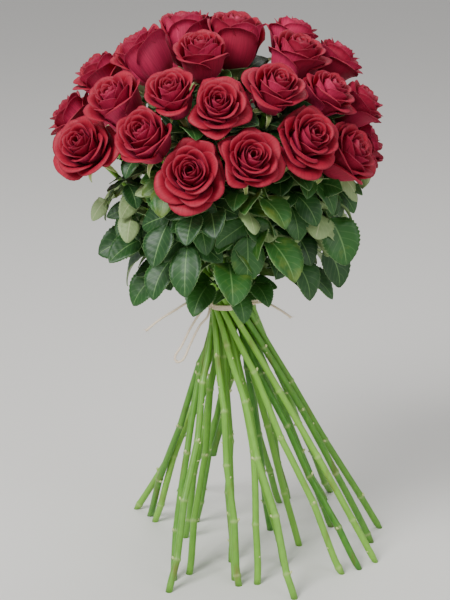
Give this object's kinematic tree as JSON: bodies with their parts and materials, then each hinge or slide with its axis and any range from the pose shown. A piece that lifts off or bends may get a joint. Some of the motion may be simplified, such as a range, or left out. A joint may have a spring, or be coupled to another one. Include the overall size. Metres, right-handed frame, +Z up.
{
  "type": "bunch of roses",
  "caption": "Spiral hand-tied bunch of red roses with leafy stems and a jute twine tie, standing upright on its splayed cut stem ends.",
  "frame": {"origin": "on the surface that the bunch stands on, under the middle of its whole width and depth", "axes": "+Z up from the cut ends to the heads, the front of the bunch towards -Y, the long end of the stems' ring towards +X"},
  "size_m": [0.3484, 0.3035, 0.5705],
  "materials": {
    "petals": "velvety deep red, pinker on the backs",
    "leafy_stems": "waxy green, leaves darker and glossier than the stems",
    "twine": "hairy undyed jute"
  },
  "bodies": {
    "root": {"rose_01_head": "petals", "rose_01_stem": "leafy_stems", "rose_02_head": "petals", "rose_02_stem": "leafy_stems", "rose_03_head": "petals", "rose_03_stem": "leafy_stems", "rose_04_head": "petals", "rose_04_stem": "leafy_stems", "rose_05_head": "petals", "rose_05_stem": "leafy_stems", "rose_06_head": "petals", "rose_06_stem": "leafy_stems", "rose_07_head": "petals", "rose_07_stem": "leafy_stems", "rose_08_head": "petals", "rose_08_stem": "leafy_stems", "rose_09_head": "petals", "rose_09_stem": "leafy_stems", "rose_10_head": "petals", "rose_10_stem": "leafy_stems", "rose_11_head": "petals", "rose_11_stem": "leafy_stems", "rose_12_head": "petals", "rose_12_stem": "leafy_stems", "rose_13_head": "petals", "rose_13_stem": "leafy_stems", "rose_14_head": "petals", "rose_14_stem": "leafy_stems", "rose_15_head": "petals", "rose_15_stem": "leafy_stems", "rose_16_head": "petals", "rose_16_stem": "leafy_stems", "rose_17_head": "petals", "rose_17_stem": "leafy_stems", "rose_18_head": "petals", "rose_18_stem": "leafy_stems", "rose_19_head": "petals", "rose_19_stem": "leafy_stems", "rose_20_head": "petals", "rose_20_stem": "leafy_stems", "rose_21_head": "petals", "rose_21_stem": "leafy_stems", "rose_22_head": "petals", "rose_22_stem": "leafy_stems", "rose_23_head": "petals", "rose_23_stem": "leafy_stems", "rose_24_head": "petals", "rose_24_stem": "leafy_stems", "rose_25_head": "petals", "rose_25_stem": "leafy_stems", "rose_26_head": "petals", "rose_26_stem": "leafy_stems", "rose_27_head": "petals", "rose_27_stem": "leafy_stems", "rose_28_head": "petals", "rose_28_stem": "leafy_stems", "twine_binding": "twine", "twine_loop": "twine", "twine_left_end": "twine", "twine_right_end": "twine"}
  },
  "joints": []
}
